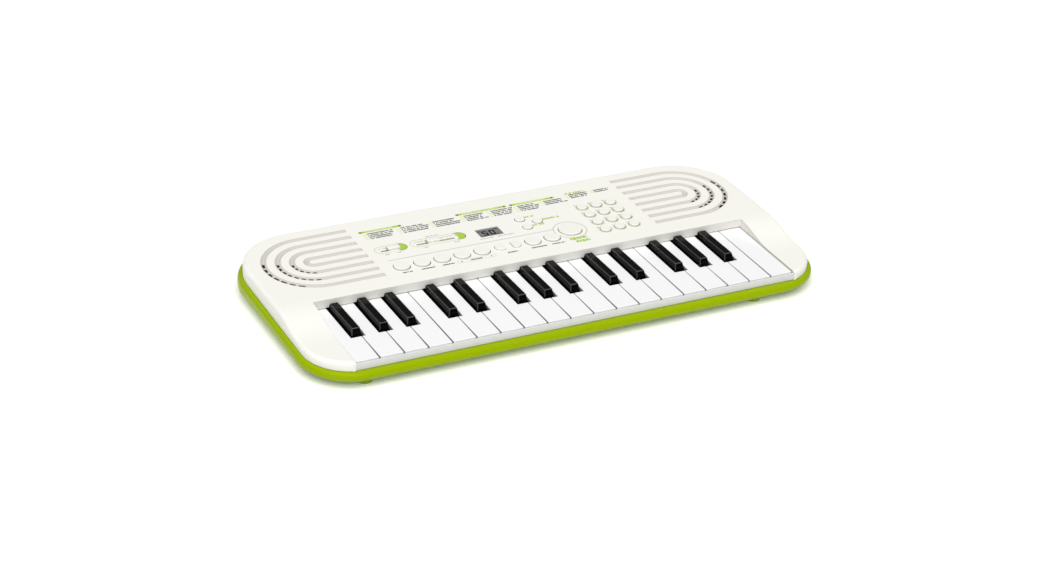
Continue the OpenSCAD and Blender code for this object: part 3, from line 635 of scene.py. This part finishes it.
def number_print(name, text, x, y):
    """One generic figure, laid flat on the panel."""
    curve = bpy.data.curves.new(name, "FONT")
    curve.body = text
    curve.size = FIGURE_HEIGHT * EM_PER_HEIGHT * MM
    curve.align_x = "CENTER"
    curve.align_y = "CENTER"
    curve.extrude = FIGURE_THICKNESS * MM
    temp = bpy.data.objects.new(name, curve)
    scene.collection.objects.link(temp)
    bpy.context.view_layer.update()
    mesh = bpy.data.meshes.new_from_object(temp)
    bpy.data.objects.remove(temp)
    mesh.transform(Matrix.Translation((x * MM, y * MM, (panel + LINE_INK) * MM)))
    bm = bmesh.new()
    bm.from_mesh(mesh)
    bmesh.ops.remove_doubles(bm, verts=bm.verts, dist=1e-7)
    bpy.data.meshes.remove(mesh)
    return new_piece(name, bm, DARK_PRINT, "case")


for part, text in enumerate(("7", "8", "9", "4", "5", "6", "1", "2", "3", "0", "-", "+")):
    x, y = pad_place(part)
    number_print(f"figure_{part + 1}", text, x - 4.6, y + 4.9)


# ---- display ---------------------------------------------------------------------------

SEGMENT_Z = 28.03
SEGMENT_THICKNESS = 0.05
SEGMENT_GAP = 0.08


def bar(bm, x0, x1, y0, y1):
    made = bmesh.ops.create_cube(bm, size=1)["verts"]
    bmesh.ops.scale(bm, verts=made, vec=(x1 - x0, y1 - y0, SEGMENT_THICKNESS))
    bmesh.ops.translate(bm, verts=made, vec=((x0 + x1) / 2, (y0 + y1) / 2, SEGMENT_Z))


def lit_figure(bm, x, y, shape):
    """One seven-bar figure; shape names the dark bars, a to g."""
    w, h, t = 4.8, 7.6, 1.45
    bars = {"a": (x, x + w, y + h - t, y + h), "d": (x, x + w, y, y + t),
            "g": (x, x + w, y + h / 2 - t / 2, y + h / 2 + t / 2),
            "f": (x, x + t, y + h / 2, y + h), "e": (x, x + t, y, y + h / 2),
            "b": (x + w - t, x + w, y + h / 2, y + h), "c": (x + w - t, x + w, y, y + h / 2)}
    for name in shape:
        x0, x1, y0, y1 = bars[name]
        bar(bm, x0 + SEGMENT_GAP, x1 - SEGMENT_GAP, y0 + SEGMENT_GAP, y1 - SEGMENT_GAP)


bm = bmesh.new()
lit_figure(bm, -20.0, 36.9, "acdfg")
lit_figure(bm, -13.6, 36.9, "abcdef")
bar(bm, -22.6, -20.6, 44.2, 45.2)
bar(bm, -8.2, -5.2, 44.4, 45.4)
bar(bm, -8.2, -6.6, 36.6, 37.4)
bmesh.ops.scale(bm, verts=bm.verts, vec=(MM, MM, MM))
new_piece("display_figures", bm, SEGMENT, "case")


# ---- floor, light and camera --------------------------------------------------------------

floor_paint = finish("pale_floor", shade(0.93), shade(0.925), rough=0.7, grain=60, bump=0.0,
                     Emission_Color=(1, 1, 1.02, 1), Emission_Strength=0.14)
bm = bmesh.new()
bmesh.ops.create_grid(bm, x_segments=4, y_segments=4, size=9)
mesh = bpy.data.meshes.new("floor")
bm.to_mesh(mesh)
bm.free()
mesh.materials.append(floor_paint)
floor = bpy.data.objects.new("floor", mesh)
scene.collection.objects.link(floor)

# an even white surround that brightens towards the zenith
ZENITH_GLOW = 0.66
HORIZON_GLOW = 0.12
world = bpy.data.worlds.new("studio")
world.use_nodes = True
n, l = world.node_tree.nodes, world.node_tree.links
aim = n.new("ShaderNodeTexCoord")
parts = n.new("ShaderNodeSeparateXYZ")
height = n.new("ShaderNodeMath")
height.operation = "MULTIPLY"
glow = n.new("ShaderNodeMath")
glow.operation = "MULTIPLY_ADD"
glow.inputs[1].default_value = ZENITH_GLOW
glow.inputs[2].default_value = HORIZON_GLOW
l.new(aim.outputs["Generated"], parts.inputs["Vector"])
l.new(parts.outputs["Z"], height.inputs[0])
l.new(parts.outputs["Z"], height.inputs[1])
l.new(height.outputs[0], glow.inputs[0])
l.new(glow.outputs[0], n["Background"].inputs["Strength"])
n["Background"].inputs["Color"].default_value = (1.0, 1.0, 1.0, 1)
scene.world = world

lamp = bpy.data.lights.new("overhead", "SUN")
lamp.energy = 2.5
lamp.angle = math.radians(55)
lamp_at = bpy.data.objects.new("overhead", lamp)
lamp_at.rotation_mode = "QUATERNION"
lamp_at.rotation_quaternion = Vector((0.25, 0.433, -0.866)).to_track_quat("-Z", "Y")
scene.collection.objects.link(lamp_at)
scene.view_settings.view_transform = "Standard"

# the camera stands back from a point on the floor, in metres, turned, tipped and rolled
LOOK_AT = Vector((-0.00303, -0.00069, 0))
DISTANCE = 2.02396
FOCAL_LENGTH = 86.91
turn, tip, roll = math.radians(-28.008), math.radians(28.636), math.radians(3.037)
back = Vector((math.sin(turn) * math.cos(tip), -math.cos(turn) * math.cos(tip), math.sin(tip)))
right = Vector((math.cos(turn), math.sin(turn), 0))
up = back.cross(right)
across = math.cos(roll) * right + math.sin(roll) * up
upward = -math.sin(roll) * right + math.cos(roll) * up
place = LOOK_AT + back * DISTANCE
lens = bpy.data.cameras.new("camera")
lens.sensor_width = 36
lens.lens = FOCAL_LENGTH
lens.clip_end = 60
camera = bpy.data.objects.new("camera", lens)
turned = Matrix((across, upward, back)).transposed().to_4x4()
camera.matrix_world = Matrix.Translation(place) @ turned
scene.collection.objects.link(camera)
scene.camera = camera
